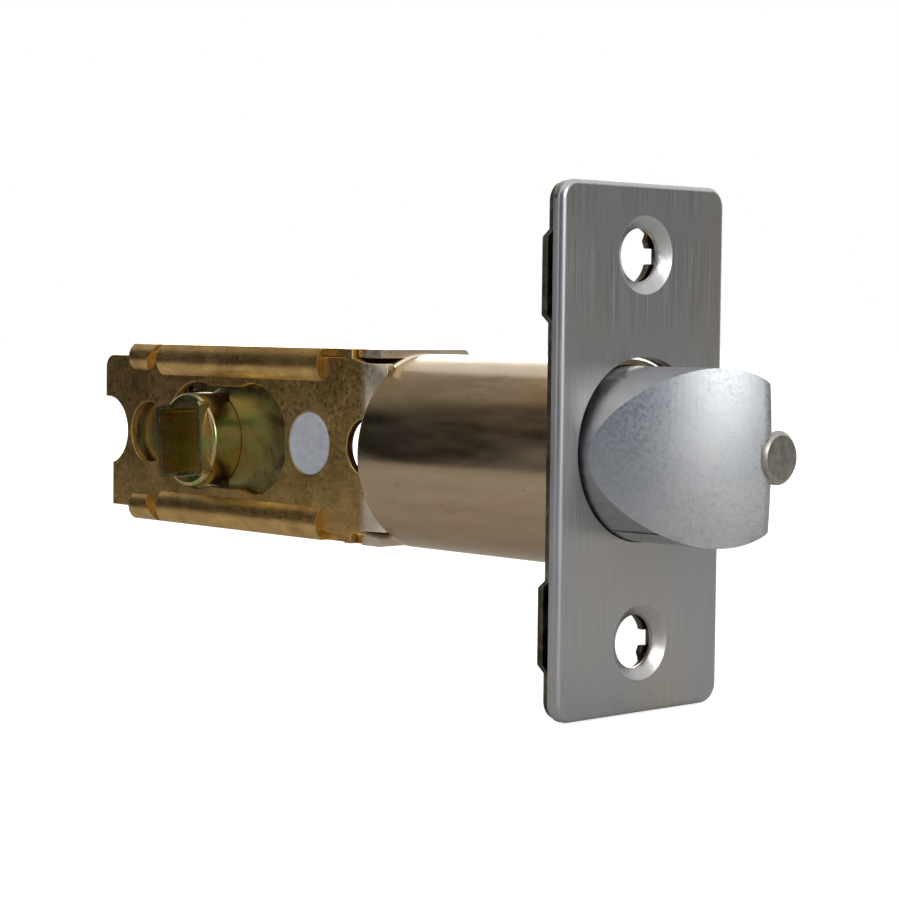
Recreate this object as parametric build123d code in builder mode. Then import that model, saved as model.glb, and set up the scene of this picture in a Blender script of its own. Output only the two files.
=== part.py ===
"""Tubular door latch with a deadlatch plunger and a 60 or 70 mm backset, in millimetres.

The origin is the middle of the faceplate's front. +X points out of the door edge along the bolt,
-Y is the side with the nylon plug, and +Z is up along the faceplate.
"""

import os
from math import atan2, cos, degrees, radians, sin, sqrt

from build123d import *

# Faceplate and the plate behind it
plate_width = 25.4
plate_height = 57.15
plate_thickness = 1.4
plate_corner = 2.2
plate_edge_round = 0.7
screw_spacing = 41.7
screw_hole_radius = 2.9
countersink_radius = 4.2
countersink_depth = 0.95
backing_thickness = 0.8
backing_inset = 0.2
channel_depth = 1.0
channel_gap = 0.2
channel_slope = 0.8
channel_end = 23.3
screw_slot_height = 1.7
screw_slot_reach = 4.2

# Latch bolt
bolt_radius = 9.45
bolt_reach = 13.4
bolt_tail = 6.0
bolt_hole_gap = 0.5
bolt_ramp_start = 1.0
bolt_ramp_tip = 4.8
bolt_ramp_radius = 24.0
bolt_strike = 5.3
bolt_drop = 0.45

# Deadlatch plunger
plunger_radius = 2.9
plunger_place = 6.95
plunger_reach = 13.5
plunger_tail = 4.5
plunger_chamfer = 0.5
plunger_gap = 0.1
plunger_foot_half = 2.0
plunger_foot_gap = 0.1
plunger_rod_radius = 1.4
plunger_rod_length = 11.0

# Barrel and the case behind it, which both hang a little lower than the bolt
barrel_drop = 1.8
rear_drop = 1.35
barrel_radius = 11.5
barrel_wall = 0.6
barrel_rim = 0.4
barrel_end = 34.3
fit_gap = 0.05
divider_place = 25.5
divider_thickness = 1.0
guide_front = 28.0
guide_back = 34.0
guide_half = 5.0
guide_gap = 1.1

# Springs
spring_wire = 0.35
bolt_spring_radius = 1.7
bolt_spring_drop = 6.4
bolt_spring_front = 4.0
bolt_spring_turns = 12
plunger_spring_radius = 1.9
plunger_spring_turns = 9
spring_seat_gap = 0.1

# Drawbar
bar_half = 1.2
stem_half = 2.5
stem_tip = 2.0
stem_step_front = 19.0
stem_step_back = 21.0
stem_step_height = 4.0
bridge_front = 37.0
bridge_back = 41.0
arm_gap = 0.25
arm_thickness = 1.2
arm_overrun = 1.2
lug_inner = 6.25
lug_thickness = 1.6
lug_gap = 0.45
stem_pin_radius = 1.0
stem_pin_place = 2.0

# Deadlock lever
lever_half = 0.9
lever_pivot_back = 29.5
lever_pivot_rise = 7.0
lever_pin_radius = 0.8
lever_tip = 21.3
lever_nose = 1.7
lever_tip_height = 2.2
lever_arm_half = 1.7
lever_rest_gap = 0.3
lever_boss_radius = 1.9
pin_gap = 0.04
leaf_thickness = 0.35

# Case
case_half_height = 11.55
case_sheet = 1.0
fold_radius = 0.9
case_near = 7.0
ear_inset = 0.5
ear_corner = 1.7
low_ear_corner = 0.4
ear_short = 1.65
notch_radius = 4.45
rail_front = 46.0
rail_depth = 3.95
rail_rise = 0.95
tab_lip = 3.4
plug_place = 48.45
plug_radius = 3.8
plug_round = 0.15
window_place = 38.0
window_radius = 3.35
tooth_front = 40.5
tooth_back = 42.0
case_corner_front = 38.4
case_gap = 0.9
neck_bend = 38.2
neck_gap = 0.6
neck_inset = 0.6
tongue_front = 30.0
tongue_half = 8.2
tongue_step = 0.7
far_tongue_sweep = 28.0
far_shoulder = 0.3
shoulder_inset = 0.05

# Backset, carriage and hub
backset_long = 70.0
backset_short = 60.0
slot_lobe_radius = 6.9
slot_waist = 6.45
slot_end_radius = 4.0
slot_end_waist = 3.4
carriage_inner = 4.4
carriage_front = 15.0
carriage_back = 12.5
carriage_gap = 0.25
carriage_tail = 18.2
carriage_tail_half = 8.4
carriage_fold_half = 5.2
carriage_relief_half = 7.2
carriage_relief_width = 9.0
carriage_relief_shift = 1.2
hub_drop = 0.4
hub_collar_radius = 6.0
hub_collar_reach = 9.6
hub_core_radius = 5.9
hub_square = 8.1
hub_square_corner = 0.4
hub_square_wall = 0.55
hub_square_reach = 10.75
hub_square_turn = 6.0
hub_arm_reach = 8.0
hub_arm_radius = 1.0
hub_arm_half = 0.8
hub_arm_angle = 40.0
hub_lip = 0.5
detent_thickness = 0.3
detent_half_width = 3.0
detent_length = 8.0
detent_place = 10.6
detent_dimple = 0.8
hub_spring_radius = 6.35
hub_spring_wire = 0.3
hub_spring_turns = 2
hub_spring_gap = 0.15

# Distances along the case, behind the hub's axis at the long backset
ear_behind = 22.0
notch_behind = 21.4
ear_step_behind = 15.5
tab_behind = 15.3
slot_end_behind = 12.05
tab_low_behind = 12.1
tab_top_behind = 9.7
rail_behind = 9.1
slot_lobe_behind = 1.2
slot_lobe_ahead = 0.2

# Worked out from the above
case_ear = backset_long + ear_behind
notch_place = backset_long + notch_behind
ear_step = backset_long + ear_step_behind
tab_back = backset_long + tab_behind
slot_end_place = backset_long + slot_end_behind
tab_low_front = backset_long + tab_low_behind
tab_top_front = backset_long + tab_top_behind
rail_back = backset_long + rail_behind
slot_back_place = backset_long + slot_lobe_behind
slot_front_place = backset_short - slot_lobe_ahead
plate_back = -plate_thickness
backing_back = plate_back - backing_thickness
bolt_hole_radius = bolt_radius + bolt_hole_gap
barrel_bore = barrel_radius - barrel_wall
channel_start = barrel_radius + barrel_drop + channel_gap
barrel_step = barrel_drop - rear_drop
case_front = barrel_end + case_gap
neck_front = barrel_end + neck_gap
case_inner = case_near - case_sheet
flange_inner = case_half_height - case_sheet
plate_half = flange_inner - fit_gap
ear_half_height = plate_half - ear_inset
neck_half = plate_half - neck_inset
arm_outer = flange_inner - arm_gap
arm_inner = arm_outer - arm_thickness
carriage_half = flange_inner - carriage_gap
shoulder_radius = case_half_height - shoulder_inset
carriage_outer = carriage_inner + case_sheet
lug_face = backset_long - hub_arm_reach * cos(radians(hub_arm_angle)) + hub_arm_radius + lug_gap
short_lug_face = lug_face - (backset_long - backset_short)
arm_end = lug_face + lug_thickness + arm_overrun


def side_plane(y):
    """The X and Z plane at a given Y, with the rear group's axis as its horizontal line."""
    return Plane(origin=(0, y, -rear_drop), x_dir=(1, 0, 0), z_dir=(0, -1, 0))


def hub_plane(y):
    """The X and Z plane at a given Y, with its origin on the hub's axis at the long backset."""
    return Plane(origin=(-backset_long, y, -rear_drop - hub_drop), x_dir=(1, 0, 0), z_dir=(0, -1, 0))


def face_plane(x, z=0.0):
    """The Y and Z plane at a given X, seen from the bolt's tip, with its centre at height z."""
    return Plane(origin=(x, 0, z), x_dir=(0, 1, 0), z_dir=(1, 0, 0))


def save(piece, name):
    """Labels a finished piece and writes it to its own file."""
    piece.label = name
    export_step(piece, f"parts/{name}.step")


# Faceplate: a drawn steel plate with a bolt hole and two countersunk screw holes.
with BuildPart() as faceplate:
    with BuildSketch(face_plane(plate_back)):
        RectangleRounded(plate_width, plate_height, plate_corner)
    extrude(amount=plate_thickness)
    fillet(faceplate.faces().sort_by(Axis.X)[-1].edges(), plate_edge_round)
    with BuildSketch(face_plane(plate_back)):
        Circle(bolt_hole_radius)
        with GridLocations(0, screw_spacing, 1, 2):
            Circle(screw_hole_radius)
    extrude(amount=plate_thickness, mode=Mode.SUBTRACT)
    for side in (-1, 1):
        with BuildSketch(face_plane(0, side * screw_spacing / 2)):
            Circle(countersink_radius)
        extrude(
            amount=-countersink_depth,
            taper=degrees(atan2(countersink_radius - screw_hole_radius, countersink_depth)),
            mode=Mode.SUBTRACT,
        )
save(faceplate.part, "faceplate")

# Backing plate: thin sheet behind the faceplate, pressed back in a channel round each screw hole.
backing_half = plate_height / 2 - backing_inset
slope_end = channel_start + channel_slope
channel_profile = [
    (plate_back, backing_half),
    (plate_back, channel_end),
    (plate_back - channel_depth, channel_end - channel_slope),
    (plate_back - channel_depth, slope_end),
    (plate_back, channel_start),
]
front_line = channel_profile + [(x, -z) for x, z in reversed(channel_profile)]
back_line = [(x - backing_thickness, z) for x, z in reversed(front_line)]
with BuildPart() as backing_plate:
    with BuildSketch(Plane(origin=(0, 0, 0), x_dir=(1, 0, 0), z_dir=(0, -1, 0))):
        with BuildLine():
            Polyline(*front_line, *back_line, close=True)
        make_face()
    extrude(amount=plate_width / 2 - backing_inset, both=True)
    fillet(backing_plate.edges().filter_by(Axis.X), plate_corner)
    with BuildSketch(face_plane(plate_back - channel_depth - backing_thickness)):
        Circle(bolt_hole_radius)
        with GridLocations(0, screw_spacing, 1, 2):
            Circle(screw_hole_radius + backing_inset)
            Rectangle(2 * screw_slot_reach, screw_slot_height)
    extrude(amount=channel_depth + 2 * backing_thickness, mode=Mode.SUBTRACT)
save(backing_plate.part, "backing_plate")

# Barrel: a plated steel tube with its rear rim rolled smooth, butted against the backing plate.
with BuildPart() as barrel_tube:
    with BuildSketch(face_plane(-barrel_end, -barrel_drop)):
        Circle(barrel_radius)
        Circle(barrel_bore, mode=Mode.SUBTRACT)
    extrude(amount=barrel_end + backing_back)
    rear_rim = barrel_tube.edges().filter_by(GeomType.CIRCLE).group_by(Axis.X)[0]
    fillet(rear_rim.sort_by(SortBy.RADIUS)[-1], barrel_rim)
save(barrel_tube.part, "barrel_tube")

# Latch bolt: a round cast head with a curved ramp, a flat strike side and a groove for the plunger.
with BuildPart() as latch_bolt:
    with BuildSketch(face_plane(-bolt_tail, -bolt_drop)):
        Circle(bolt_radius)
        with Locations((bolt_strike + bolt_radius, 0)):
            Rectangle(2 * bolt_radius, 3 * bolt_radius, mode=Mode.SUBTRACT)
    extrude(amount=bolt_tail + bolt_reach)
    with BuildSketch(Plane.XY.offset(-1.2 * bolt_radius)):
        with BuildLine():
            ramp_foot = (bolt_ramp_start, -bolt_radius)
            ramp_top = (bolt_reach, bolt_ramp_tip)
            RadiusArc(ramp_foot, ramp_top, -bolt_ramp_radius)
            Polyline(
                ramp_top,
                (bolt_reach + bolt_radius, bolt_ramp_tip),
                (bolt_reach + bolt_radius, -1.5 * bolt_radius),
                (bolt_ramp_start, -1.5 * bolt_radius),
                ramp_foot,
            )
        make_face()
    extrude(amount=2.4 * bolt_radius, mode=Mode.SUBTRACT)
    with BuildSketch(face_plane(-bolt_tail, -bolt_drop)):
        with Locations((plunger_place, 0)):
            Circle(plunger_radius + plunger_gap)
    extrude(amount=bolt_tail + bolt_reach, mode=Mode.SUBTRACT)
    with BuildSketch(face_plane(-bolt_tail, -bolt_drop)):
        with Locations((0, bolt_drop - rear_drop)):
            Rectangle(2 * (bar_half + fit_gap), 2 * (stem_half + fit_gap))
    extrude(amount=bolt_tail + stem_tip + fit_gap, mode=Mode.SUBTRACT)
    with BuildSketch(face_plane(-bolt_tail, -bolt_drop)):
        with Locations((0, -bolt_spring_drop)):
            Circle(bolt_spring_radius + 2 * spring_wire)
    extrude(amount=bolt_tail + bolt_spring_front, mode=Mode.SUBTRACT)
    with BuildSketch(side_plane(bolt_strike - plunger_gap)):
        with Locations((-stem_pin_place, 0)):
            Circle(stem_pin_radius)
    extrude(amount=2 * bolt_radius, mode=Mode.SUBTRACT)
save(latch_bolt.part, "latch_bolt")

# Stem pin: holds the bolt on the drawbar's stem, ground flush with the bolt's round side.
pin_flush = bolt_radius - 2 * pin_gap
pin_near = sqrt(pin_flush**2 - (rear_drop - bolt_drop + stem_pin_radius) ** 2)
pin_far = plunger_place - plunger_radius - plunger_gap - fit_gap
with BuildPart() as stem_pin:
    with BuildSketch(side_plane(pin_far)):
        with Locations((-stem_pin_place, 0)):
            Circle(stem_pin_radius)
    extrude(amount=pin_near + pin_far)
save(stem_pin.part, "stem_pin")

# Deadlatch plunger: a turned pin beside the bolt, with a foot that stops behind the backing plate.
with BuildPart() as deadlatch_plunger:
    with BuildSketch(face_plane(-plunger_tail, -bolt_drop)):
        with Locations((plunger_place, 0)):
            Circle(plunger_radius)
    extrude(amount=plunger_tail + plunger_reach)
    chamfer(deadlatch_plunger.faces().sort_by(Axis.X)[-1].edges(), plunger_chamfer)
    with BuildSketch(face_plane(-plunger_tail, -bolt_drop)):
        with Locations((0, bolt_drop - barrel_drop)):
            Circle(barrel_bore - 3 * fit_gap)
        with Locations((plunger_place + plunger_radius, 0)):
            Rectangle(2 * plunger_radius, 2 * plunger_foot_half, mode=Mode.INTERSECT)
    extrude(amount=plunger_tail + backing_back - plunger_foot_gap)
    with BuildSketch(face_plane(-plunger_tail - plunger_rod_length, -bolt_drop)):
        with Locations((plunger_place, 0)):
            Circle(plunger_rod_radius)
    extrude(amount=plunger_rod_length)
save(deadlatch_plunger.part, "deadlatch_plunger")


def coil_spring(name, radius, wire, turns, start, finish):
    """A round wire coil from start to finish, given as points on its axis."""
    axis = Vector(*finish) - Vector(*start)
    with BuildPart() as spring:
        with BuildLine() as path:
            Helix(axis.length / turns, axis.length, radius, center=start, direction=axis)
        with BuildSketch(Plane(origin=path.line @ 0, z_dir=path.line % 0)):
            Circle(wire)
        sweep(is_frenet=True)
    save(spring.part, name)


# Bolt spring: pushes the bolt out, between a bore in its tail and the divider.
coil_spring(
    "bolt_spring",
    bolt_spring_radius,
    spring_wire,
    bolt_spring_turns,
    (-divider_place + spring_wire, 0, -bolt_drop - bolt_spring_drop),
    (bolt_spring_front - spring_wire - spring_seat_gap, 0, -bolt_drop - bolt_spring_drop),
)

# Plunger spring: sits on the plunger's rod and pushes on its shoulder.
coil_spring(
    "plunger_spring",
    plunger_spring_radius,
    spring_wire,
    plunger_spring_turns,
    (-divider_place + spring_wire, plunger_place, -bolt_drop),
    (-plunger_tail - spring_wire - spring_seat_gap, plunger_place, -bolt_drop),
)

# Divider: a steel washer across the barrel that both springs push against.
lever_rest_bottom = stem_step_height + lever_rest_gap
with BuildPart() as barrel_divider:
    with BuildSketch(face_plane(-divider_place - divider_thickness, -barrel_drop)):
        Circle(barrel_bore)
        with Locations((0, barrel_step + (lever_pivot_rise + lever_boss_radius - stem_half) / 2)):
            Rectangle(
                2 * (bar_half + 4 * fit_gap),
                lever_pivot_rise + lever_boss_radius + stem_half + 4 * fit_gap,
                mode=Mode.SUBTRACT,
            )
        with Locations((plunger_place, barrel_drop - bolt_drop)):
            Circle(plunger_rod_radius + 2 * fit_gap, mode=Mode.SUBTRACT)
    extrude(amount=divider_thickness)
save(barrel_divider.part, "barrel_divider")

# Stem guide: a die cast block that keeps the stem straight and carries the lever's pin.
guide_reach = sqrt((barrel_bore - fit_gap) ** 2 - guide_half**2)
with BuildPart() as stem_guide:
    with BuildSketch(face_plane(-guide_back, -rear_drop)):
        Rectangle(2 * guide_half, 2 * guide_reach)
        with Locations((0, -barrel_step)):
            Circle(barrel_bore - guide_gap, mode=Mode.INTERSECT)
        with Locations((0, (stem_step_height - stem_half) / 2)):
            Rectangle(
                2 * (bar_half + fit_gap),
                stem_step_height + stem_half + 4 * fit_gap,
                mode=Mode.SUBTRACT,
            )
    extrude(amount=guide_back - guide_front)
    with BuildSketch(face_plane(-guide_front - 2 * lever_boss_radius, -rear_drop)):
        with Locations((0, barrel_bore / 2)):
            Rectangle(2 * (bar_half + fit_gap), barrel_bore)
    extrude(amount=2 * lever_boss_radius, mode=Mode.SUBTRACT)
    with BuildSketch(side_plane(guide_half)):
        with Locations((-lever_pivot_back, lever_pivot_rise)):
            Circle(lever_pin_radius)
    extrude(amount=2 * guide_half, mode=Mode.SUBTRACT)
save(stem_guide.part, "stem_guide")

# Deadlock lever: drops behind the stem's step when the plunger is held in.
with BuildPart() as deadlock_lever:
    with BuildSketch(side_plane(lever_half)):
        with Locations((-lever_pivot_back, lever_pivot_rise)):
            Circle(lever_boss_radius)
        with BuildLine():
            Polyline(
                (-lever_tip, lever_rest_bottom),
                (-lever_tip, lever_rest_bottom + lever_tip_height),
                (-lever_pivot_back, lever_pivot_rise + lever_arm_half),
                (-lever_pivot_back, lever_pivot_rise - lever_arm_half),
                (-lever_tip - lever_nose, lever_rest_bottom),
                close=True,
            )
        make_face()
        with Locations((-lever_pivot_back, lever_pivot_rise)):
            Circle(lever_pin_radius + pin_gap, mode=Mode.SUBTRACT)
    extrude(amount=2 * lever_half)
save(deadlock_lever.part, "deadlock_lever")

# Lever pin: the lever's steel pivot, pressed through the guide.
with BuildPart() as lever_pin:
    with BuildSketch(side_plane(guide_half)):
        with Locations((-lever_pivot_back, lever_pivot_rise)):
            Circle(lever_pin_radius)
    extrude(amount=2 * guide_half)
save(lever_pin.part, "lever_pin")

# Lever spring: a bent leaf in the barrel's crown that presses the lever down.
leaf_crown = sqrt((barrel_bore - fit_gap) ** 2 - lever_half**2) - barrel_step
leaf_back = -guide_front + 2 * fit_gap
leaf_front = -divider_place - divider_thickness - 2 * fit_gap
leaf_foot = lever_pivot_rise + lever_boss_radius - lever_rest_gap
leaf_bend = (leaf_crown + leaf_foot) / 2
with BuildPart() as lever_spring:
    with BuildSketch(side_plane(lever_half)):
        with BuildLine():
            Polyline(
                (leaf_back, leaf_crown),
                (leaf_back + leaf_thickness, leaf_crown),
                (leaf_front, leaf_bend),
                (leaf_back + leaf_thickness, leaf_foot),
                (leaf_back + leaf_thickness / 2, leaf_foot),
                (leaf_front - leaf_thickness, leaf_bend),
                (leaf_back + leaf_thickness / 2, leaf_crown - leaf_thickness),
                (leaf_back, leaf_crown - leaf_thickness),
                close=True,
            )
        make_face()
    extrude(amount=2 * lever_half)
save(lever_spring.part, "lever_spring")

# Drawbar: one stamping, a stem to the bolt and a fork whose lugs the hub's arms pull.
with BuildPart() as drawbar:
    with BuildSketch(side_plane(bar_half)):
        with Locations(((stem_tip - bridge_back) / 2, 0)):
            Rectangle(stem_tip + bridge_back, 2 * stem_half)
        with Locations((-(stem_step_front + stem_step_back) / 2, stem_step_height / 2)):
            Rectangle(stem_step_back - stem_step_front, stem_step_height)
        with Locations((-(bridge_front + bridge_back) / 2, 0)):
            Rectangle(bridge_back - bridge_front, 2 * arm_outer)
        for side in (-1, 1):
            with Locations((-(bridge_front + arm_end) / 2, side * (arm_inner + arm_outer) / 2)):
                Rectangle(arm_end - bridge_front, arm_outer - arm_inner)
            for face in (lug_face, short_lug_face):
                with Locations((-face - lug_thickness / 2, (side * (lug_inner + arm_outer) - hub_drop) / 2)):
                    Rectangle(lug_thickness, arm_outer - lug_inner + side * hub_drop)
        with Locations((-stem_pin_place, 0)):
            Circle(stem_pin_radius, mode=Mode.SUBTRACT)
    extrude(amount=2 * bar_half)
save(drawbar.part, "drawbar")

# Hub: one casting, two collars round a square socket that stands proud of them, and two arms inside.
with BuildPart() as hub:
    with BuildSketch(hub_plane(carriage_inner)):
        Circle(hub_core_radius)
    extrude(amount=2 * carriage_inner)
    with BuildSketch(hub_plane(bar_half)):
        for side in (-1, 1):
            reach = Vector(cos(radians(hub_arm_angle)), side * sin(radians(hub_arm_angle)))
            across = Vector(-reach.Y, reach.X) * hub_arm_half
            with Locations((hub_arm_reach * reach.X, hub_arm_reach * reach.Y)):
                Circle(hub_arm_radius)
            with BuildLine():
                Polyline(
                    across,
                    reach * hub_arm_reach + across,
                    reach * hub_arm_reach - across,
                    -across,
                    close=True,
                )
            make_face()
    extrude(amount=2 * bar_half)
    for start in (-carriage_inner, hub_collar_reach):
        with BuildSketch(hub_plane(start)):
            Circle(hub_collar_radius - fit_gap)
        extrude(amount=hub_collar_reach - carriage_inner)
    rims = hub.edges().filter_by(GeomType.CIRCLE).group_by(Axis.Y)
    fillet(rims[0] + rims[-1], hub_lip)
    with BuildSketch(hub_plane(hub_square_reach)):
        socket_width = hub_square + 2 * hub_square_wall
        RectangleRounded(socket_width, socket_width, hub_square_wall, rotation=hub_square_turn)
        Circle(hub_core_radius + hub_square_wall, mode=Mode.INTERSECT)
    extrude(amount=hub_square_reach - hub_collar_reach + hub_lip)
    with BuildSketch(hub_plane(-hub_collar_reach + hub_lip)):
        RectangleRounded(socket_width, socket_width, hub_square_wall, rotation=hub_square_turn)
        Circle(hub_core_radius + hub_square_wall, mode=Mode.INTERSECT)
    extrude(amount=hub_square_reach - hub_collar_reach + hub_lip)
    with BuildSketch(hub_plane(hub_square_reach)):
        RectangleRounded(hub_square, hub_square, hub_square_corner, rotation=hub_square_turn)
    extrude(amount=2 * hub_square_reach, mode=Mode.SUBTRACT)
save(hub.part, "hub")

# Hub spring: a wire coil round the hub's core that turns the arms forward again.
hub_axis_height = -rear_drop - hub_drop
coil_spring(
    "hub_spring",
    hub_spring_radius,
    hub_spring_wire,
    hub_spring_turns,
    (-backset_long, -carriage_inner + hub_spring_wire + spring_seat_gap, hub_axis_height),
    (-backset_long, -bar_half - hub_spring_wire - hub_spring_gap, hub_axis_height),
)

# Hub carriage: a sheet folded into a U that holds the hub's collars, with room above and below the near
# one, and slides in the case.
carriage_rear = backset_long + carriage_tail
with BuildPart() as hub_carriage:
    for start in (carriage_outer, -carriage_inner):
        with BuildSketch(side_plane(start)):
            with Locations((-backset_long + (carriage_front - carriage_back) / 2, 0)):
                Rectangle(carriage_front + carriage_back, 2 * carriage_half)
            with Locations((-backset_long - carriage_tail / 2, 0)):
                Rectangle(carriage_tail, 2 * carriage_tail_half)
            with Locations((-backset_long, -hub_drop)):
                Circle(hub_collar_radius, mode=Mode.SUBTRACT)
        extrude(amount=case_sheet)
    with BuildSketch(side_plane(carriage_outer)):
        with Locations((-carriage_rear + case_sheet / 2, 0)):
            Rectangle(case_sheet, 2 * carriage_fold_half)
    extrude(amount=2 * carriage_outer)
    with BuildSketch(side_plane(-carriage_inner)):
        with Locations((-backset_long - carriage_relief_shift, -hub_drop)):
            Rectangle(carriage_relief_width, 2 * carriage_relief_half)
    extrude(amount=case_sheet, mode=Mode.SUBTRACT)
save(hub_carriage.part, "hub_carriage")

# Backset detent: a leaf spring on the carriage whose dimple rubs on the shell.
with BuildPart() as backset_detent:
    with BuildSketch(side_plane(carriage_outer + detent_thickness)):
        with Locations((-backset_long + detent_place, 0)):
            Rectangle(detent_length, 2 * detent_half_width)
    extrude(amount=detent_thickness)
    with BuildSketch(side_plane(case_inner - fit_gap)):
        with Locations((-backset_long + detent_place, 0)):
            Circle(detent_dimple)
    extrude(amount=case_inner - fit_gap - carriage_outer)
save(backset_detent.part, "backset_detent")


def hub_slot(mode):
    """The long slot with a round lobe at each backset and a smaller one at its closed end."""
    with Locations((-slot_back_place, 0), (-slot_front_place, 0)):
        Circle(slot_lobe_radius, mode=mode)
    with Locations((-(slot_back_place + slot_front_place) / 2, 0)):
        Rectangle(slot_back_place - slot_front_place, 2 * slot_waist, mode=mode)
    with Locations((-slot_end_place, 0)):
        Circle(slot_end_radius, mode=mode)
    with Locations((-(slot_end_place + slot_back_place) / 2, 0)):
        Rectangle(slot_end_place - slot_back_place, 2 * slot_end_waist, mode=mode)


# Near plate: the flat half of the case, with ears, the hub's slot and a tongue into the barrel.
with BuildPart() as case_near_plate:
    with BuildSketch(side_plane(-case_inner)):
        with BuildLine():
            half_outline = [
                (-neck_bend, neck_half),
                (-tooth_front, plate_half),
                (-tooth_front, case_half_height),
                (-tooth_back, case_half_height),
                (-tooth_back, plate_half),
                (-ear_step, plate_half),
                (-ear_step, ear_half_height),
            ]
            ear_end = -case_ear
            low_ear_end = -case_ear + ear_short
            Polyline(
                *half_outline,
                (ear_end, ear_half_height),
                (ear_end, 0),
                (low_ear_end, 0),
                (low_ear_end, -ear_half_height),
                *[(x, -z) for x, z in reversed(half_outline)],
                close=True,
            )
        make_face()
        with Locations((-notch_place, 0)):
            Circle(notch_radius, mode=Mode.SUBTRACT)
        with Locations((-notch_place - notch_radius, 0)):
            Rectangle(2 * notch_radius, 2 * notch_radius, mode=Mode.SUBTRACT)
        hub_slot(Mode.SUBTRACT)
        with Locations((-plug_place, 0)):
            Circle(plug_radius + fit_gap, mode=Mode.SUBTRACT)
        with Locations((-window_place, 0)):
            Circle(window_radius, mode=Mode.SUBTRACT)
    extrude(amount=case_sheet)
    ear_corners = case_near_plate.edges().filter_by(Axis.Y).group_by(Axis.X)
    fillet(ear_corners[0].sort_by(Axis.Z)[-1], ear_corner)
    low_corners = case_near_plate.edges().filter_by(Axis.Y).group_by(Axis.Z)[0]
    fillet(low_corners.sort_by(Axis.X)[0], low_ear_corner)
    tongue_top = case_near - tongue_step
    tongue_low = tongue_top - case_sheet
    for back, front, back_top, half in (
        (neck_bend, neck_front, case_near, neck_half),
        (neck_front, tongue_front, tongue_top, tongue_half),
    ):
        with BuildSketch(Plane.XY.offset(-rear_drop)):
            with BuildLine():
                Polyline(
                    (-back, -back_top),
                    (-front, -tongue_top),
                    (-front, -tongue_low),
                    (-back, -back_top + case_sheet),
                    close=True,
                )
            make_face()
        extrude(amount=half, both=True)
    with BuildSketch(side_plane(-tongue_low)):
        with Locations((-window_place, 0)):
            Circle(window_radius)
    extrude(amount=case_near - tongue_low, mode=Mode.SUBTRACT)
save(case_near_plate.part, "case_near_plate")

# Far shell: a U folded sheet whose flange edges are rolled over the near plate.
with BuildPart() as case_far_shell:
    with BuildSketch(face_plane(-tab_back, -rear_drop)):
        Rectangle(2 * case_near, 2 * case_half_height)
        with Locations((-case_sheet, 0)):
            Rectangle(2 * case_near, 2 * flange_inner, mode=Mode.SUBTRACT)
    extrude(amount=tab_back - case_front)
    web_edges = case_far_shell.edges().filter_by(Axis.X).group_by(Axis.Y)[-1]
    fillet(web_edges, fold_radius)
    for side in (-1, 1):
        for back, front, depth in (
            (rail_back, rail_front, rail_depth),
            (tab_back, tab_top_front, tab_lip),
        ):
            with BuildSketch(face_plane(-back, -rear_drop)):
                with BuildLine():
                    lip_top = (-case_near, side * case_half_height)
                    lip_crown = (-case_near - rail_rise, side * (case_half_height - depth / 2))
                    lip_foot = (-case_near, side * (case_half_height - depth))
                    ThreePointArc(lip_top, lip_crown, lip_foot)
                    Line(lip_foot, lip_top)
                make_face()
            extrude(amount=back - front)
        with BuildSketch(side_plane(-case_near)):
            with BuildLine():
                Polyline(
                    (-tab_top_front, side * case_half_height),
                    (-tab_low_front, side * (case_half_height - tab_lip)),
                    (-tab_top_front, side * (case_half_height - tab_lip)),
                    close=True,
                )
            make_face()
        extrude(amount=rail_rise, mode=Mode.SUBTRACT)
    with BuildSketch(side_plane(case_near)):
        hub_slot(Mode.ADD)
    extrude(amount=case_sheet, mode=Mode.SUBTRACT)
    with BuildSketch(side_plane(-case_inner)):
        with Locations((-(rail_front + case_corner_front) / 2, 0)):
            Rectangle(rail_front - case_corner_front, 3 * case_half_height)
    extrude(amount=case_sheet, mode=Mode.SUBTRACT)
    far_tongue_radius = barrel_bore - fit_gap
    for side in (-1, 1):
        edge_y = side * sin(radians(far_tongue_sweep))
        edge_z = side * cos(radians(far_tongue_sweep))
        with BuildSketch(Plane(origin=(0, 0, -barrel_drop), x_dir=(1, 0, 0), z_dir=(0, -edge_z, edge_y))):
            with BuildLine():
                Polyline(
                    (-case_front - far_shoulder, far_tongue_radius - case_sheet),
                    (-case_front - far_shoulder, shoulder_radius),
                    (-case_front + far_shoulder, shoulder_radius),
                    (-barrel_end - far_shoulder, far_tongue_radius),
                    (-tongue_front + far_shoulder, far_tongue_radius),
                    (-tongue_front + far_shoulder, far_tongue_radius - case_sheet),
                    close=True,
                )
            make_face()
        revolve(axis=Axis((0, 0, -barrel_drop), (1, 0, 0)), revolution_arc=2 * far_tongue_sweep)
save(case_far_shell.part, "case_far_shell")

# Nylon plug: a moulded button pressed into the near plate that rubs on the carriage.
with BuildPart() as nylon_plug:
    with BuildSketch(side_plane(-carriage_outer - 2 * fit_gap)):
        with Locations((-plug_place, 0)):
            Circle(plug_radius)
    extrude(amount=case_near - carriage_outer - fit_gap)
    fillet(nylon_plug.edges().filter_by(GeomType.CIRCLE).group_by(Axis.Y)[0], plug_round)
save(nylon_plug.part, "nylon_plug")
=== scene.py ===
from math import radians, sqrt

import bmesh
import bpy
from mathutils import Matrix, Vector


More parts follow.
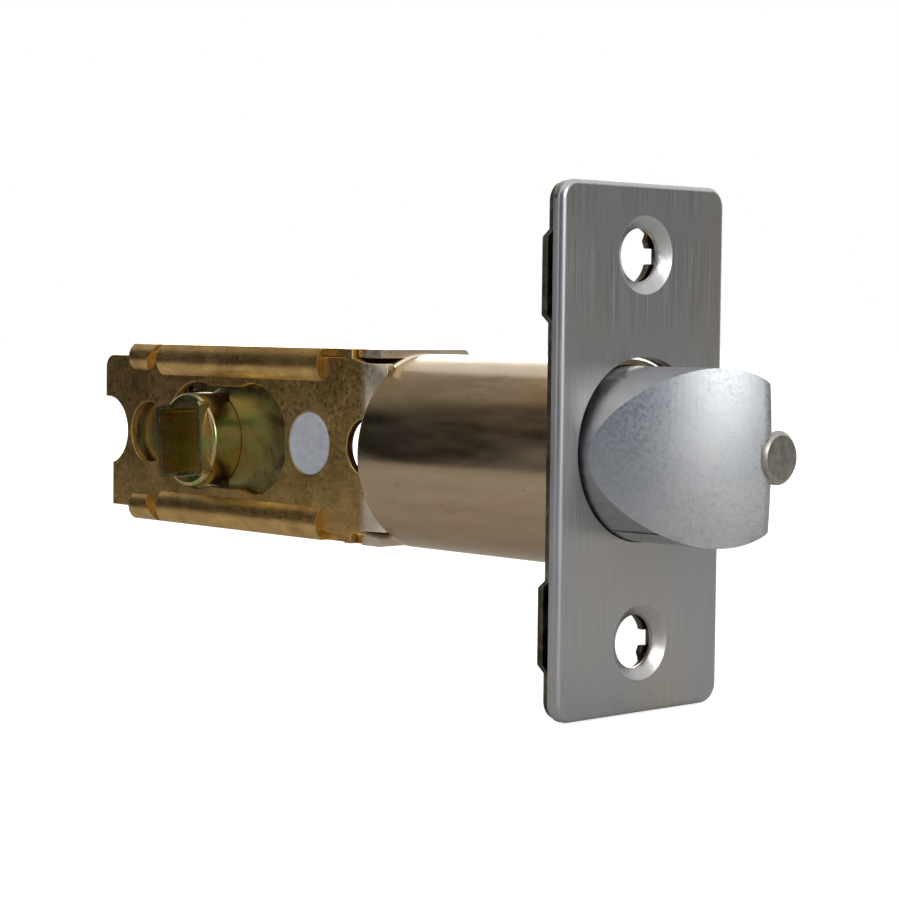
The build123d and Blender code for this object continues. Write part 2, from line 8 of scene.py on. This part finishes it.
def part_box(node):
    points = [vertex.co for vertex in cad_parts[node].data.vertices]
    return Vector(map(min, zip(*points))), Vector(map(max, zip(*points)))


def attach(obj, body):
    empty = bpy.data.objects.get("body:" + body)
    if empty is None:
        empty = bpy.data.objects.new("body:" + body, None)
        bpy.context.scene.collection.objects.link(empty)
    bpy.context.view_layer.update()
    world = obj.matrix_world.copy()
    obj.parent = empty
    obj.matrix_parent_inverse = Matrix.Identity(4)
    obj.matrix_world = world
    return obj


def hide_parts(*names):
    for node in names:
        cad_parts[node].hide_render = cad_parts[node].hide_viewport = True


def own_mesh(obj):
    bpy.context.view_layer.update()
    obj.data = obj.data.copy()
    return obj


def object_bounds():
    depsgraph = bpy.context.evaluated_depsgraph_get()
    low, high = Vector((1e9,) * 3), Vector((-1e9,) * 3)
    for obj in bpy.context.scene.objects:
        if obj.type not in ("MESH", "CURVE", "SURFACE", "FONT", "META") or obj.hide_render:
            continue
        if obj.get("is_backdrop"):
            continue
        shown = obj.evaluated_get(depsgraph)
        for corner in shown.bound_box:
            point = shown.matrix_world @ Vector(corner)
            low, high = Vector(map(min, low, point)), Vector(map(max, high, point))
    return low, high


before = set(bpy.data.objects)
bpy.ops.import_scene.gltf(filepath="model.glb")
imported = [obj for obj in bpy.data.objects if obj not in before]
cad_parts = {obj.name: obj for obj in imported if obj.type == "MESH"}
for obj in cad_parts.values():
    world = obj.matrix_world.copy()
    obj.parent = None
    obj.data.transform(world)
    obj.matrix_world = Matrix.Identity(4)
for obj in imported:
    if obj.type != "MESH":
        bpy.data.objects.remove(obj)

cad_low, cad_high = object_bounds()

# Camera: a long lens a quarter metre away, level with the latch and turned to see the faceplate and the
# flat side of the case at once.
camera_lens = 92.95
camera_film = 36.0
camera_near = 0.01
camera_far = 10.0
camera_place = Vector((0.170474, -0.183502, 0.013425))
camera_right = Vector((0.67322, 0.73936, 0.01077))
camera_down = Vector((0.04771, -0.02889, -0.99844))
camera_ahead = Vector((-0.7379, 0.67269, -0.05472))

camera_data = bpy.data.cameras.new("camera")
camera_data.lens = camera_lens
camera_data.sensor_width = camera_film
camera_data.clip_start = camera_near
camera_data.clip_end = camera_far
camera = bpy.data.objects.new("camera", camera_data)
bpy.context.scene.collection.objects.link(camera)
camera_turn = Matrix((camera_right, -camera_down, -camera_ahead)).transposed()
camera.matrix_world = Matrix.Translation(camera_place) @ camera_turn.to_4x4()
bpy.context.scene.camera = camera
bpy.context.scene.view_settings.view_transform = "Standard"


# World and floor: an even white surround that the camera and the metal both see, and a white table under the
# faceplate's lower end.
world = bpy.data.worlds.new("surround")
bpy.context.scene.world = world
world.use_nodes = True
world_nodes = world.node_tree.nodes
world_links = world.node_tree.links
world_nodes.clear()
ray = world_nodes.new("ShaderNodeLightPath")
seen = world_nodes.new("ShaderNodeMath")
seen.operation = "MAXIMUM"
seen_through = world_nodes.new("ShaderNodeMath")
seen_through.operation = "MAXIMUM"
soft = world_nodes.new("ShaderNodeBackground")
soft.inputs["Color"].default_value = (0.95, 0.97, 1.0, 1.0)
soft.inputs["Strength"].default_value = 0.55
white = world_nodes.new("ShaderNodeBackground")
white.inputs["Color"].default_value = (1.0, 1.0, 1.0, 1.0)
white.inputs["Strength"].default_value = 1.0
mixed = world_nodes.new("ShaderNodeMixShader")
world_out = world_nodes.new("ShaderNodeOutputWorld")
world_links.new(ray.outputs["Is Camera Ray"], seen.inputs[0])
world_links.new(ray.outputs["Is Glossy Ray"], seen.inputs[1])
world_links.new(seen.outputs[0], seen_through.inputs[0])
world_links.new(ray.outputs["Is Transmission Ray"], seen_through.inputs[1])
world_links.new(seen_through.outputs[0], mixed.inputs["Fac"])
world_links.new(soft.outputs[0], mixed.inputs[1])
world_links.new(white.outputs[0], mixed.inputs[2])
world_links.new(mixed.outputs[0], world_out.inputs["Surface"])

floor_half = 3.0
floor_clearance = 0.0002
floor_mesh = bmesh.new()
bmesh.ops.create_grid(floor_mesh, x_segments=1, y_segments=1, size=floor_half)
bmesh.ops.translate(floor_mesh, verts=floor_mesh.verts, vec=(0, 0, cad_low.z - floor_clearance))
floor_data = bpy.data.meshes.new("floor")
floor_mesh.to_mesh(floor_data)
floor_mesh.free()
floor = bpy.data.objects.new("floor", floor_data)
bpy.context.scene.collection.objects.link(floor)
floor_paint = bpy.data.materials.new("floor_white")
floor_paint.use_nodes = True
floor_nodes = floor_paint.node_tree.nodes
floor_links = floor_paint.node_tree.links
floor_nodes.clear()
floor_ray = floor_nodes.new("ShaderNodeLightPath")
floor_matt = floor_nodes.new("ShaderNodeBsdfDiffuse")
floor_matt.inputs["Color"].default_value = (0.72, 0.69, 0.65, 1.0)
floor_glow = floor_nodes.new("ShaderNodeEmission")
floor_glow.inputs["Color"].default_value = (1.0, 1.0, 1.0, 1.0)
floor_glow.inputs["Strength"].default_value = 0.8
floor_add = floor_nodes.new("ShaderNodeAddShader")
floor_mix = floor_nodes.new("ShaderNodeMixShader")
floor_out = floor_nodes.new("ShaderNodeOutputMaterial")
floor_links.new(floor_matt.outputs[0], floor_add.inputs[0])
floor_links.new(floor_glow.outputs[0], floor_add.inputs[1])
floor_links.new(floor_ray.outputs["Is Camera Ray"], floor_mix.inputs["Fac"])
floor_links.new(floor_matt.outputs[0], floor_mix.inputs[1])
floor_links.new(floor_add.outputs[0], floor_mix.inputs[2])
floor_links.new(floor_mix.outputs[0], floor_out.inputs["Surface"])
floor_data.materials.append(floor_paint)
floor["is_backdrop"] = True


# Studio lights: a broad soft box over the camera, a second one behind the latch for the barrel's crown, and
# dark cards beside the camera, as a maker of catalogue pictures sets them, to give the metal its bands.
def soft_box(name, place, target, width, height, power, colour):
    data = bpy.data.lights.new(name, "AREA")
    data.shape = "RECTANGLE"
    data.size = width
    data.size_y = height
    data.energy = power
    data.color = colour
    lamp = bpy.data.objects.new(name, data)
    bpy.context.scene.collection.objects.link(lamp)
    lamp.location = place
    lamp.visible_camera = False
    lamp.rotation_euler = (Vector(target) - Vector(place)).to_track_quat("-Z", "Y").to_euler()


def dark_card(name, place, target, width, height, shade):
    mesh = bmesh.new()
    bmesh.ops.create_grid(mesh, x_segments=1, y_segments=1, size=0.5)
    bmesh.ops.scale(mesh, verts=mesh.verts, vec=(width, height, 1.0))
    turn = (Vector(target) - Vector(place)).to_track_quat("Z", "Y").to_matrix().to_4x4()
    bmesh.ops.transform(mesh, verts=mesh.verts, matrix=Matrix.Translation(place) @ turn)
    data = bpy.data.meshes.new(name)
    mesh.to_mesh(data)
    mesh.free()
    paint = bpy.data.materials.new(name)
    paint.use_nodes = True
    paint.node_tree.nodes.clear()
    glow = paint.node_tree.nodes.new("ShaderNodeEmission")
    glow.inputs["Color"].default_value = (*shade, 1.0)
    out = paint.node_tree.nodes.new("ShaderNodeOutputMaterial")
    paint.node_tree.links.new(glow.outputs[0], out.inputs["Surface"])
    data.materials.append(paint)
    card = bpy.data.objects.new(name, data)
    bpy.context.scene.collection.objects.link(card)
    card.visible_camera = False
    card.visible_diffuse = False
    card.visible_shadow = False
    card.visible_transmission = False
    card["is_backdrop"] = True


soft_box(
    "box_over_camera",
    place=(0.45, -0.08, 0.19),
    target=(0, 0, 0),
    width=0.26,
    height=0.2,
    power=0.75,
    colour=(0.95, 0.98, 1.0),
)
soft_box(
    "box_behind",
    place=(-0.55, 0.43, 0.2),
    target=(-0.03, 0, 0),
    width=0.3,
    height=0.16,
    power=1.05,
    colour=(1.0, 0.95, 0.84),
)
card_foot = cad_low.z
for name, place, aim, width, low, high, shade in (
    ("card_left", (-0.191, -0.108), (-0.04, 0.02), 0.162, card_foot, 0.1, (0.012, 0.011, 0.01)),
    ("card_left_upper", (-0.3, -0.25), (0, -0.25), 0.26, 0.13, 0.4, (0.1, 0.09, 0.075)),
    ("card_left_high", (-0.3, -0.02), (0, -0.02), 0.2, 0.13, 0.45, (0.33, 0.29, 0.235)),
    ("card_front", (0.14, -0.4), (0, 0), 0.56, card_foot, 0.4, (0.09, 0.125, 0.195)),
    ("card_far_right", (0.4, 0.4), (0, 0), 0.7, card_foot, 0.3, (0.17, 0.165, 0.165)),
):
    middle = (low + high) / 2
    dark_card(name, (*place, middle), (*aim, middle), width, high - low, shade)


# Faceplate: steel sheet, punched and drawn over at its rim, countersunk twice and brushed from end to end.
join_distance = 1e-6
flat_angle = radians(0.4)
sharp_angle = radians(28)
crease_angle = radians(35)
edge_segments = 2


def joined_copy(node):
    """A CAD node's mesh with its loose triangles joined and its flat faces made whole."""
    mesh = bmesh.new()
    mesh.from_mesh(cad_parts[node].data)
    bmesh.ops.remove_doubles(mesh, verts=mesh.verts, dist=join_distance)
    bmesh.ops.dissolve_limit(
        mesh,
        angle_limit=flat_angle,
        verts=mesh.verts,
        edges=mesh.edges,
        delimit={"NORMAL"},
    )
    return mesh


def rounded(mesh, width):
    """Rounds every edge of the mesh that is sharper than the sharp angle."""
    sharp = [e for e in mesh.edges if len(e.link_faces) == 2 and e.calc_face_angle(0.0) > sharp_angle]
    bmesh.ops.bevel(
        mesh,
        geom=sharp,
        offset=width,
        segments=edge_segments,
        profile=0.5,
        affect="EDGES",
        clamp_overlap=True,
        material=-1,
    )


def placed(mesh, name, body, material, replaced):
    """Makes the piece's object, shades it, parents it to its body and hides the CAD node it replaces."""
    data = bpy.data.meshes.new(name)
    mesh.to_mesh(data)
    mesh.free()
    data.shade_smooth()
    data.set_sharp_from_angle(angle=crease_angle)
    data.materials.append(material)
    piece = bpy.data.objects.new(name, data)
    bpy.context.scene.collection.objects.link(piece)
    even = piece.modifiers.new("even_shading", "WEIGHTED_NORMAL")
    even.keep_sharp = True
    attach(piece, body)
    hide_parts(replaced)
    return piece


def finish_nodes(name, metallic):
    """A new material with its shader, its object coordinates and short ways to add nodes."""
    made = bpy.data.materials.new(name)
    made.use_nodes = True
    tree = made.node_tree
    shader = tree.nodes["Principled BSDF"]
    shader.inputs["Metallic"].default_value = metallic
    return made, tree, shader, tree.nodes.new("ShaderNodeTexCoord")


def grain(tree, coords, scale, stretch, detail, rough, warp=0.0):
    """Noise on object coordinates, as grains per metre, stretched along an axis where asked."""
    mapping = tree.nodes.new("ShaderNodeMapping")
    mapping.inputs["Scale"].default_value = stretch
    noise = tree.nodes.new("ShaderNodeTexNoise")
    noise.inputs["Scale"].default_value = scale
    noise.inputs["Detail"].default_value = detail
    noise.inputs["Roughness"].default_value = rough
    noise.inputs["Distortion"].default_value = warp
    tree.links.new(coords.outputs["Object"], mapping.inputs["Vector"])
    tree.links.new(mapping.outputs["Vector"], noise.inputs["Vector"])
    return noise.outputs["Fac"]


def tones(tree, value, stops):
    """A colour for each place along a value."""
    ramp = tree.nodes.new("ShaderNodeValToRGB")
    while len(ramp.color_ramp.elements) < len(stops):
        ramp.color_ramp.elements.new(0.5)
    for element, (place, colour) in zip(ramp.color_ramp.elements, stops):
        element.position = place
        element.color = (*colour, 1.0)
    tree.links.new(value, ramp.inputs["Fac"])
    return ramp.outputs["Color"]


def span(tree, value, low, high, start=0.3, end=0.7):
    """A value's middle stretch spread from low to high."""
    spread = tree.nodes.new("ShaderNodeMapRange")
    spread.inputs["From Min"].default_value = start
    spread.inputs["From Max"].default_value = end
    spread.inputs["To Min"].default_value = low
    spread.inputs["To Max"].default_value = high
    tree.links.new(value, spread.inputs["Value"])
    return spread.outputs["Result"]


def blended(tree, share, first, second, mode="MIX"):
    """Two colours mixed by a share, which is a number or another node's value."""
    mix = tree.nodes.new("ShaderNodeMix")
    mix.data_type = "RGBA"
    mix.blend_type = mode
    if isinstance(share, float):
        mix.inputs[0].default_value = share
    else:
        tree.links.new(share, mix.inputs[0])
    for socket, value in ((mix.inputs[6], first), (mix.inputs[7], second)):
        if isinstance(value, tuple):
            socket.default_value = (*value, 1.0)
        else:
            tree.links.new(value, socket)
    return mix.outputs[2]


def relief(tree, shader, height, distance, strength):
    """Bump of a real depth in metres."""
    bump = tree.nodes.new("ShaderNodeBump")
    bump.inputs["Distance"].default_value = distance
    bump.inputs["Strength"].default_value = strength
    tree.links.new(height, bump.inputs["Height"])
    tree.links.new(bump.outputs["Normal"], shader.inputs["Normal"])


brushed_steel, steel_tree, steel, steel_coords = finish_nodes("brushed_steel", 1.0)
brush_lines = grain(steel_tree, steel_coords, 60.0, (1.0, 160.0, 1.4), 3.0, 0.6)
brush_patches = grain(steel_tree, steel_coords, 45.0, (1.0, 1.6, 0.5), 2.0, 0.5)
steel_colour = tones(steel_tree, brush_lines, [(0.3, (0.46, 0.46, 0.46)), (0.7, (0.58, 0.575, 0.56))])
steel_cloud = tones(steel_tree, brush_patches, [(0.3, (0.9, 0.93, 1.0)), (0.7, (1.0, 0.97, 0.92))])
steel_tree.links.new(
    blended(steel_tree, 1.0, steel_colour, steel_cloud, "MULTIPLY"), steel.inputs["Base Color"]
)
steel_tree.links.new(span(steel_tree, brush_lines, 0.26, 0.42), steel.inputs["Roughness"])
relief(steel_tree, steel, brush_lines, 0.000012, 0.7)

plate = joined_copy("faceplate")
rounded(plate, 0.00018)
placed(plate, "brushed_faceplate", "case", brushed_steel, "faceplate")


# Backing plate: thin sheet steel behind the faceplate, pressed back round the screw holes and left dull.
dull_plating, dull_tree, dull, dull_coords = finish_nodes("dull_plating", 1.0)
dull_mottle = grain(dull_tree, dull_coords, 420.0, (1.0, 1.0, 1.0), 6.0, 0.7, 0.4)
dull_stains = grain(dull_tree, dull_coords, 110.0, (1.0, 1.0, 1.0), 4.0, 0.6)
dull_colour = tones(
    dull_tree,
    dull_mottle,
    [(0.3, (0.05, 0.042, 0.035)), (0.52, (0.15, 0.13, 0.105)), (0.7, (0.34, 0.32, 0.3))],
)
dull_stain_colour = tones(dull_tree, dull_stains, [(0.35, (0.55, 0.5, 0.45)), (0.65, (1.0, 1.0, 1.0))])
dull_tree.links.new(
    blended(dull_tree, 1.0, dull_colour, dull_stain_colour, "MULTIPLY"), dull.inputs["Base Color"]
)
dull_tree.links.new(span(dull_tree, dull_mottle, 0.3, 0.55), dull.inputs["Roughness"])
relief(dull_tree, dull, dull_mottle, 0.00003, 0.6)

backing = joined_copy("backing_plate")
rounded(backing, 0.00012)
placed(backing, "pressed_backing_plate", "case", dull_plating, "backing_plate")


# Barrel: a drawn steel tube with a warm yellow zinc plating, polished along its length, its rim rolled in.
barrel_plating, barrel_tree, barrel, barrel_coords = finish_nodes("barrel_plating", 1.0)
barrel_streaks = grain(barrel_tree, barrel_coords, 90.0, (1.0, 6.0, 6.0), 5.0, 0.6, 0.3)
barrel_clouds = grain(barrel_tree, barrel_coords, 55.0, (1.0, 1.4, 1.4), 3.0, 0.55, 0.8)
barrel_specks = grain(barrel_tree, barrel_coords, 1500.0, (1.0, 1.0, 1.0), 2.0, 0.5)
barrel_base = tones(
    barrel_tree,
    barrel_streaks,
    [(0.3, (0.48, 0.37, 0.25)), (0.5, (0.54, 0.42, 0.29)), (0.7, (0.59, 0.47, 0.34))],
)
barrel_tint = tones(
    barrel_tree,
    barrel_clouds,
    [(0.3, (0.86, 0.94, 0.9)), (0.5, (1.0, 0.97, 0.9)), (0.62, (1.0, 0.88, 0.76)), (0.75, (0.93, 0.9, 1.0))],
)
barrel_warm = blended(barrel_tree, 0.8, barrel_base, barrel_tint, "MULTIPLY")
barrel_spots = tones(barrel_tree, barrel_specks, [(0.66, (1.0, 1.0, 1.0)), (0.76, (0.7, 0.64, 0.56))])
barrel_tree.links.new(
    blended(barrel_tree, 1.0, barrel_warm, barrel_spots, "MULTIPLY"), barrel.inputs["Base Color"]
)
barrel_tree.links.new(span(barrel_tree, barrel_streaks, 0.17, 0.27), barrel.inputs["Roughness"])
relief(barrel_tree, barrel, barrel_streaks, 0.00002, 0.3)

tube = joined_copy("barrel_tube")
rounded(tube, 0.00008)
placed(tube, "plated_barrel", "case", barrel_plating, "barrel_tube")


# Latch bolt: a zinc casting, tumbled to a fine grain and plated pale satin grey. Its curved ramp is slightly
# crowned from top to bottom.
cast_satin, cast_tree, cast, cast_coords = finish_nodes("cast_satin", 1.0)
cast_grain = grain(cast_tree, cast_coords, 2600.0, (1.0, 1.0, 1.0), 3.0, 0.6)
cast_clouds = grain(cast_tree, cast_coords, 160.0, (1.0, 1.0, 1.0), 4.0, 0.6)
cast_colour = tones(
    cast_tree,
    cast_clouds,
    [(0.3, (0.45, 0.465, 0.485)), (0.55, (0.5, 0.51, 0.525)), (0.75, (0.54, 0.545, 0.55))],
)
cast_specks = tones(cast_tree, cast_grain, [(0.3, (0.9, 0.9, 0.9)), (0.55, (1.0, 1.0, 1.0))])
cast_tree.links.new(
    blended(cast_tree, 1.0, cast_colour, cast_specks, "MULTIPLY"), cast.inputs["Base Color"]
)
cast_tree.links.new(span(cast_tree, cast_grain, 0.34, 0.5), cast.inputs["Roughness"])
relief(cast_tree, cast, cast_grain, 0.000012, 0.4)

ramp_foot = Vector((0.001, -0.00945, 0.0))
ramp_top = Vector((0.0134, 0.0048, 0.0))
ramp_radius = 0.024
ramp_reach = 0.00015
ramp_crown = 0.0006
ramp_chord = ramp_top - ramp_foot
ramp_depth = sqrt(ramp_radius**2 - (ramp_chord.length / 2) ** 2)
ramp_inward = Vector((-ramp_chord.y, ramp_chord.x, 0.0)).normalized()
ramp_axis = (ramp_foot + ramp_top) / 2 + ramp_inward * ramp_depth
bolt = joined_copy("latch_bolt")
bolt_low, bolt_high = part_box("latch_bolt")
bolt_middle = (bolt_low.z + bolt_high.z) / 2
bolt_half = (bolt_high.z - bolt_low.z) / 2
ramp_steps = (-0.85, -0.68, -0.51, -0.34, -0.17, 0.0, 0.17, 0.34, 0.51, 0.68, 0.85)
for share in ramp_steps:
    bmesh.ops.bisect_plane(
        bolt,
        geom=bolt.verts[:] + bolt.edges[:] + bolt.faces[:],
        plane_co=(0, 0, bolt_middle + share * bolt_half),
        plane_no=(0, 0, 1),
    )
for vert in bolt.verts:
    from_axis = Vector((vert.co.x - ramp_axis.x, vert.co.y - ramp_axis.y, 0.0))
    if abs(from_axis.length - ramp_radius) < ramp_reach and vert.co.x > ramp_foot.x + ramp_reach:
        height = (vert.co.z - bolt_middle) / bolt_half
        vert.co -= from_axis.normalized() * ramp_crown * height * height
rounded(bolt, 0.0002)
placed(bolt, "cast_latch_bolt", "bolt", cast_satin, "latch_bolt")


# Deadlatch plunger: a turned steel pin, its end faced off on the lathe.
turned_steel, turned_tree, turned, turned_coords = finish_nodes("turned_steel", 1.0)
turned_grain = grain(turned_tree, turned_coords, 900.0, (6.0, 1.0, 1.0), 3.0, 0.5)
turned_colour = tones(turned_tree, turned_grain, [(0.3, (0.3, 0.28, 0.25)), (0.7, (0.46, 0.43, 0.39))])
turned_tree.links.new(turned_colour, turned.inputs["Base Color"])
turned_tree.links.new(span(turned_tree, turned_grain, 0.26, 0.4), turned.inputs["Roughness"])
relief(turned_tree, turned, turned_grain, 0.000015, 0.6)

pin = joined_copy("deadlatch_plunger")
rounded(pin, 0.0001)
placed(pin, "turned_plunger", "plunger", turned_steel, "deadlatch_plunger")


# Case: two pressings of thin steel, yellow zinc plated to a brown gold with green and red in it, the far one
# rolled over the near one along both edges.
case_plating, case_tree, case, case_coords = finish_nodes("case_plating", 1.0)
case_clouds = grain(case_tree, case_coords, 90.0, (1.0, 1.0, 1.0), 4.0, 0.6, 1.0)
case_fine = grain(case_tree, case_coords, 2200.0, (1.0, 1.0, 1.0), 4.0, 0.65)
case_marks = grain(case_tree, case_coords, 300.0, (1.0, 1.0, 2.4), 5.0, 0.7, 0.5)
case_base = tones(
    case_tree,
    case_clouds,
    [
        (0.28, (0.39, 0.25, 0.08)),
        (0.45, (0.52, 0.34, 0.12)),
        (0.6, (0.66, 0.43, 0.16)),
        (0.75, (0.6, 0.44, 0.19)),
    ],
)
case_wear = tones(case_tree, case_marks, [(0.45, (1.0, 1.0, 1.0)), (0.66, (1.5, 1.5, 1.5))])
case_worn = blended(case_tree, 0.6, case_base, case_wear, "MULTIPLY")
case_dots = tones(case_tree, case_fine, [(0.3, (0.72, 0.68, 0.6)), (0.42, (1.0, 1.0, 1.0))])
case_dotted = blended(case_tree, 0.9, case_worn, case_dots, "MULTIPLY")
case_place = case_tree.nodes.new("ShaderNodeSeparateXYZ")
case_tree.links.new(case_coords.outputs["Object"], case_place.inputs["Vector"])
# Painted highlight: from X = -39 mm to -37.5 mm and forward of it, the case's colour is blended to a pale
# cream. This stands in for the bright band the light puts along the neck.
neck_back, neck_front = -0.039, -0.0375
neck_highlight_share = span(case_tree, case_place.outputs["X"], 0.0, 1.0, neck_back, neck_front)
neck_painted_highlight = (0.95, 0.83, 0.66)
case_tree.links.new(blended(case_tree, neck_highlight_share, case_dotted, neck_painted_highlight), case.inputs["Base Color"])
case_tree.links.new(span(case_tree, case_fine, 0.26, 0.44), case.inputs["Roughness"])
relief(case_tree, case, case_fine, 0.00002, 0.6)

near = joined_copy("case_near_plate")
rounded(near, 0.00012)
placed(near, "pressed_near_plate", "case", case_plating, "case_near_plate")
far = joined_copy("case_far_shell")
rounded(far, 0.00025)
placed(far, "folded_far_shell", "case", case_plating, "case_far_shell")


# Nylon plug: a moulded button with the swirl of its gate, pressed into the near plate.
nylon, nylon_tree, nylon_shader, nylon_coords = finish_nodes("nylon", 0.0)
nylon_clouds = grain(nylon_tree, nylon_coords, 500.0, (1.0, 1.0, 1.0), 3.0, 0.6, 2.0)
nylon_tree.links.new(
    tones(nylon_tree, nylon_clouds, [(0.3, (0.47, 0.49, 0.55)), (0.7, (0.63, 0.65, 0.71))]),
    nylon_shader.inputs["Base Color"],
)
nylon_shader.inputs["Roughness"].default_value = 0.42
nylon_shader.inputs["Subsurface Weight"].default_value = 0.2
nylon_shader.inputs["Subsurface Scale"].default_value = 0.001
relief(nylon_tree, nylon_shader, nylon_clouds, 0.00008, 0.5)

plug = joined_copy("nylon_plug")
rounded(plug, 0.0001)
placed(plug, "moulded_plug", "case", nylon, "nylon_plug")


# Hub: a zinc casting with a bright iridescent plating.
hub_plating, hub_tree, hub_shader, hub_coords = finish_nodes("hub_plating", 1.0)
hub_clouds = grain(hub_tree, hub_coords, 190.0, (1.0, 1.0, 1.0), 3.0, 0.5, 1.5)
hub_colour = tones(
    hub_tree,
    hub_clouds,
    [
        (0.3, (0.32, 0.37, 0.12)),
        (0.42, (0.52, 0.48, 0.19)),
        (0.52, (0.58, 0.38, 0.2)),
        (0.62, (0.4, 0.47, 0.2)),
        (0.75, (0.55, 0.32, 0.3)),
    ],
)
hub_tree.links.new(hub_colour, hub_shader.inputs["Base Color"])
hub_tree.links.new(span(hub_tree, hub_clouds, 0.2, 0.32), hub_shader.inputs["Roughness"])

collar = joined_copy("hub")
rounded(collar, 0.00012)
placed(collar, "plated_hub", "hub", hub_plating, "hub")


# Carriage, drawbar, lever and divider: stamped steel with the same yellow plating.
inner_plating, inner_tree, inner, inner_coords = finish_nodes("inner_plating", 1.0)
inner_clouds = grain(inner_tree, inner_coords, 150.0, (1.0, 1.0, 1.0), 4.0, 0.55, 1.2)
inner_tree.links.new(
    tones(
        inner_tree,
        inner_clouds,
        [
            (0.3, (0.27, 0.24, 0.1)),
            (0.5, (0.44, 0.37, 0.17)),
            (0.62, (0.4, 0.42, 0.19)),
            (0.75, (0.5, 0.31, 0.22)),
        ],
    ),
    inner.inputs["Base Color"],
)
inner_tree.links.new(span(inner_tree, inner_clouds, 0.22, 0.36), inner.inputs["Roughness"])
for node, body, slot_name in (
    ("hub_carriage", "carriage", "carriage"),
    ("drawbar", "bolt", "inner_plates"),
    ("deadlock_lever", "lever", "inner_plates"),
    ("barrel_divider", "case", "inner_plates"),
):
    stamping = joined_copy(node)
    rounded(stamping, 0.0001)
    placed(stamping, "stamped_" + node, body, inner_plating, node)


# Springs, pins and the cast guide: drawn wire, ground pins and a plain zinc block, all inside the case and
# barrel. The two long springs stand on the barrel's divider.
wire_steel, wire_tree, wire, wire_coords = finish_nodes("wire_steel", 1.0)
wire_grain = grain(wire_tree, wire_coords, 1200.0, (1.0, 1.0, 1.0), 3.0, 0.5)
wire_colour = tones(wire_tree, wire_grain, [(0.3, (0.36, 0.36, 0.37)), (0.7, (0.5, 0.5, 0.5))])
wire_tree.links.new(wire_colour, wire.inputs["Base Color"])
wire_tree.links.new(span(wire_tree, wire_grain, 0.25, 0.4), wire.inputs["Roughness"])
bolt_travel = 0.01226
plunger_travel = 0.0122
for node, joint, travel in (
    ("bolt_spring", "bolt_slide", bolt_travel),
    ("plunger_spring", "plunger_slide", plunger_travel),
):
    coil = placed(joined_copy(node), "squeezed_" + node, "case", wire_steel, node)
    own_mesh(coil)
for node in (
    "hub_spring",
    "lever_spring",
    "backset_detent",
    "stem_pin",
    "lever_pin",
    "stem_guide",
):
    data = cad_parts[node].data
    data.materials.clear()
    data.materials.append(wire_steel if node != "stem_guide" else cast_satin)


# The finished model's box.
low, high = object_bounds()
